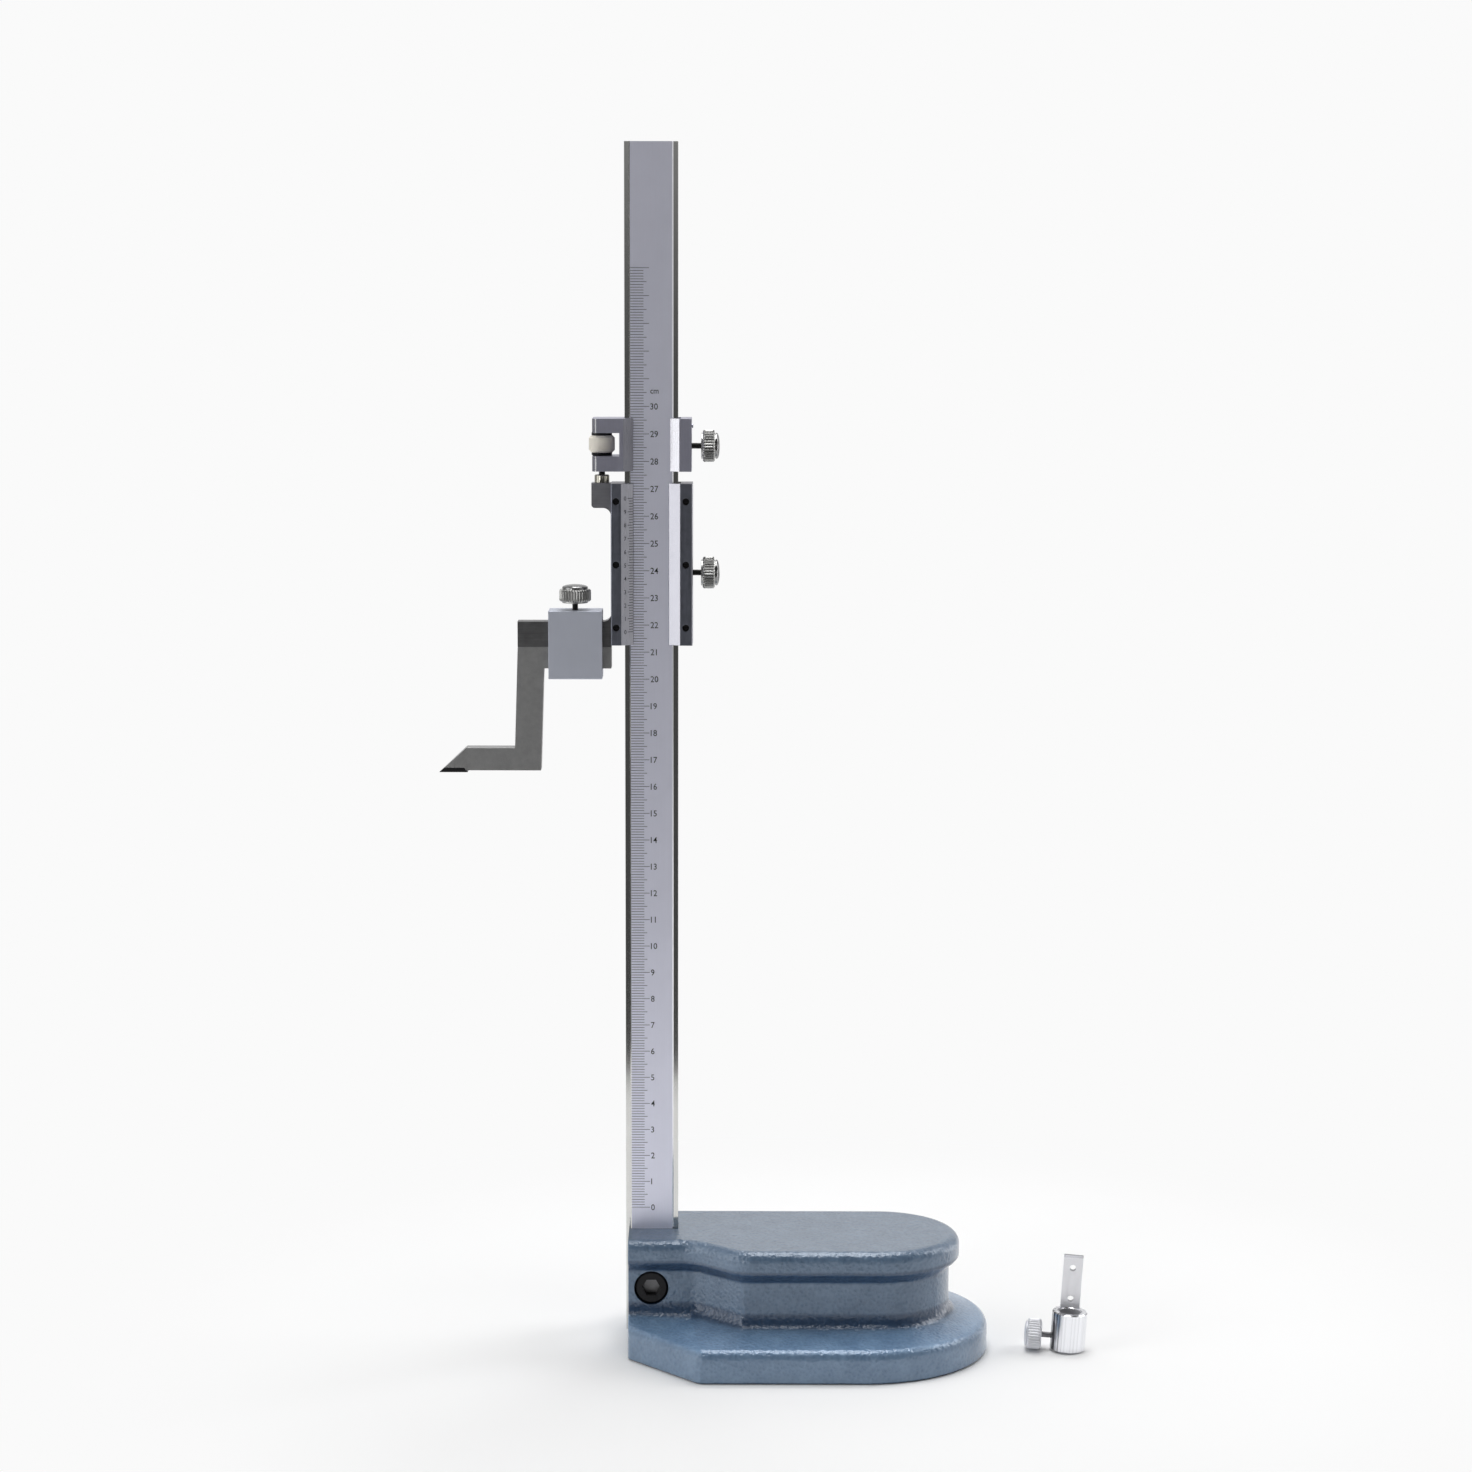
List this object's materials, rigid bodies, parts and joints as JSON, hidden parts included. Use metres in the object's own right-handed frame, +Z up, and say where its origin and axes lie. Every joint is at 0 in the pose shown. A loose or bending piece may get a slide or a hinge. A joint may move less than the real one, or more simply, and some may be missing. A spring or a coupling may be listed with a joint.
{
  "type": "vernier height gauge",
  "caption": "Vernier height gauge: graduated beam on a rounded cast base, slider with a cranked scriber, fine feed carriage, thumb-screw locks and a loose indicator holder.",
  "frame": {"origin": "on the ground face of the base, under the middle of the beam", "axes": "+Z up along the beam, +X to the right, towards the base's round end, +Y away from the graduated face"},
  "size_m": [0.2419, 0.095, 0.4477],
  "materials": {
    "base": "blue-grey hammered enamel on cast iron, ground foot",
    "base_cap_screw": "black oxide",
    "beam": "ground satin stainless steel with etched graduations",
    "slider_frame": "ground and hardened steel, dark satin",
    "vernier_plate": "ground steel with etched vernier lines",
    "guide_plate": "ground steel, bright",
    "plate_screws": "black oxide",
    "slider_gib": "rolled bronze strip",
    "feed_screw": "threaded bright steel",
    "feed_screw_collar": "turned steel",
    "fine_feed_nut": "knurled, nickel plated",
    "carriage": "ground steel, satin",
    "carriage_gib": "rolled bronze strip",
    "carriage_gib_pin": "turned steel",
    "carriage_lock_screw": "knurled steel",
    "slider_lock_screw": "knurled steel",
    "clamp_box": "ground steel, satin",
    "clamp_box_screw": "knurled steel",
    "scriber": "ground hardened steel, dark satin",
    "carbide_tip": "ground tungsten carbide",
    "holder_sleeve": "bright chrome plated",
    "holder_blade": "satin plated",
    "holder_screw": "knurled, nickel plated"
  },
  "bodies": {
    "base": {"base": "base", "base_cap_screw": "base_cap_screw", "beam": "beam"},
    "carriage": {"carriage": "carriage", "carriage_gib": "carriage_gib", "carriage_gib_pin": "carriage_gib_pin"},
    "feed_nut": {"fine_feed_nut": "fine_feed_nut"},
    "carriage_lock": {"carriage_lock_screw": "carriage_lock_screw"},
    "slider": {"slider_frame": "slider_frame", "vernier_plate": "vernier_plate", "guide_plate": "guide_plate", "plate_screws": "plate_screws", "slider_gib": "slider_gib", "feed_screw": "feed_screw", "feed_screw_collar": "feed_screw_collar"},
    "slider_lock": {"slider_lock_screw": "slider_lock_screw"},
    "clamp_box": {"clamp_box": "clamp_box"},
    "box_screw": {"clamp_box_screw": "clamp_box_screw"},
    "scriber": {"scriber": "scriber", "carbide_tip": "carbide_tip"},
    "holder": {"holder_sleeve": "holder_sleeve", "holder_blade": "holder_blade"},
    "holder_screw": {"holder_screw": "holder_screw"}
  },
  "joints": [
    {"name": "carriage_slide", "type": "slide", "parent": "base", "child": "carriage", "axis": [0, 0, 1], "range_m": [-0.2125, 0.097]},
    {"name": "feed_nut_spin", "type": "hinge", "parent": "carriage", "child": "feed_nut", "pos_m": [-0.01818, 0, 0.3387], "axis": [0, 0, 1], "range_deg": [-810, 3690]},
    {"name": "fine_feed", "type": "slide", "parent": "carriage", "child": "slider", "axis": [0, 0, 1], "range_m": [-0.0046, 0.001]},
    {"name": "carriage_lock_turn", "type": "hinge", "parent": "carriage", "child": "carriage_lock", "pos_m": [0.01815, 0, 0.338], "axis": [1, 0, 0], "range_deg": [0, 720]},
    {"name": "slider_lock_turn", "type": "hinge", "parent": "slider", "child": "slider_lock", "pos_m": [0.01815, 0, 0.29155], "axis": [1, 0, 0], "range_deg": [0, 720]},
    {"name": "clamp_box_slide", "type": "slide", "parent": "slider", "child": "clamp_box", "axis": [1, 0, 0], "range_m": [-0.01, 0]},
    {"name": "box_screw_turn", "type": "hinge", "parent": "clamp_box", "child": "box_screw", "pos_m": [-0.02817, 0, 0.2803], "axis": [0, 0, 1], "range_deg": [0, 720]},
    {"name": "scriber_slide", "type": "slide", "parent": "clamp_box", "child": "scriber", "axis": [1, 0, 0], "range_m": [-0.01, 0]},
    {"name": "holder_lift", "type": "slide", "parent": "base", "child": "holder", "axis": [0, 0, 1], "range_m": [0, 0.05]},
    {"name": "holder_screw_turn", "type": "hinge", "parent": "holder", "child": "holder_screw", "pos_m": [0.14639, -0.01096, 0.00569], "axis": [-0.9943, 0.087, 0.061], "range_deg": [0, 720]}
  ],
  "couplings": [
    {"joint": "feed_nut_spin", "follows": "fine_feed", "rad_per_m": -13963}
  ]
}
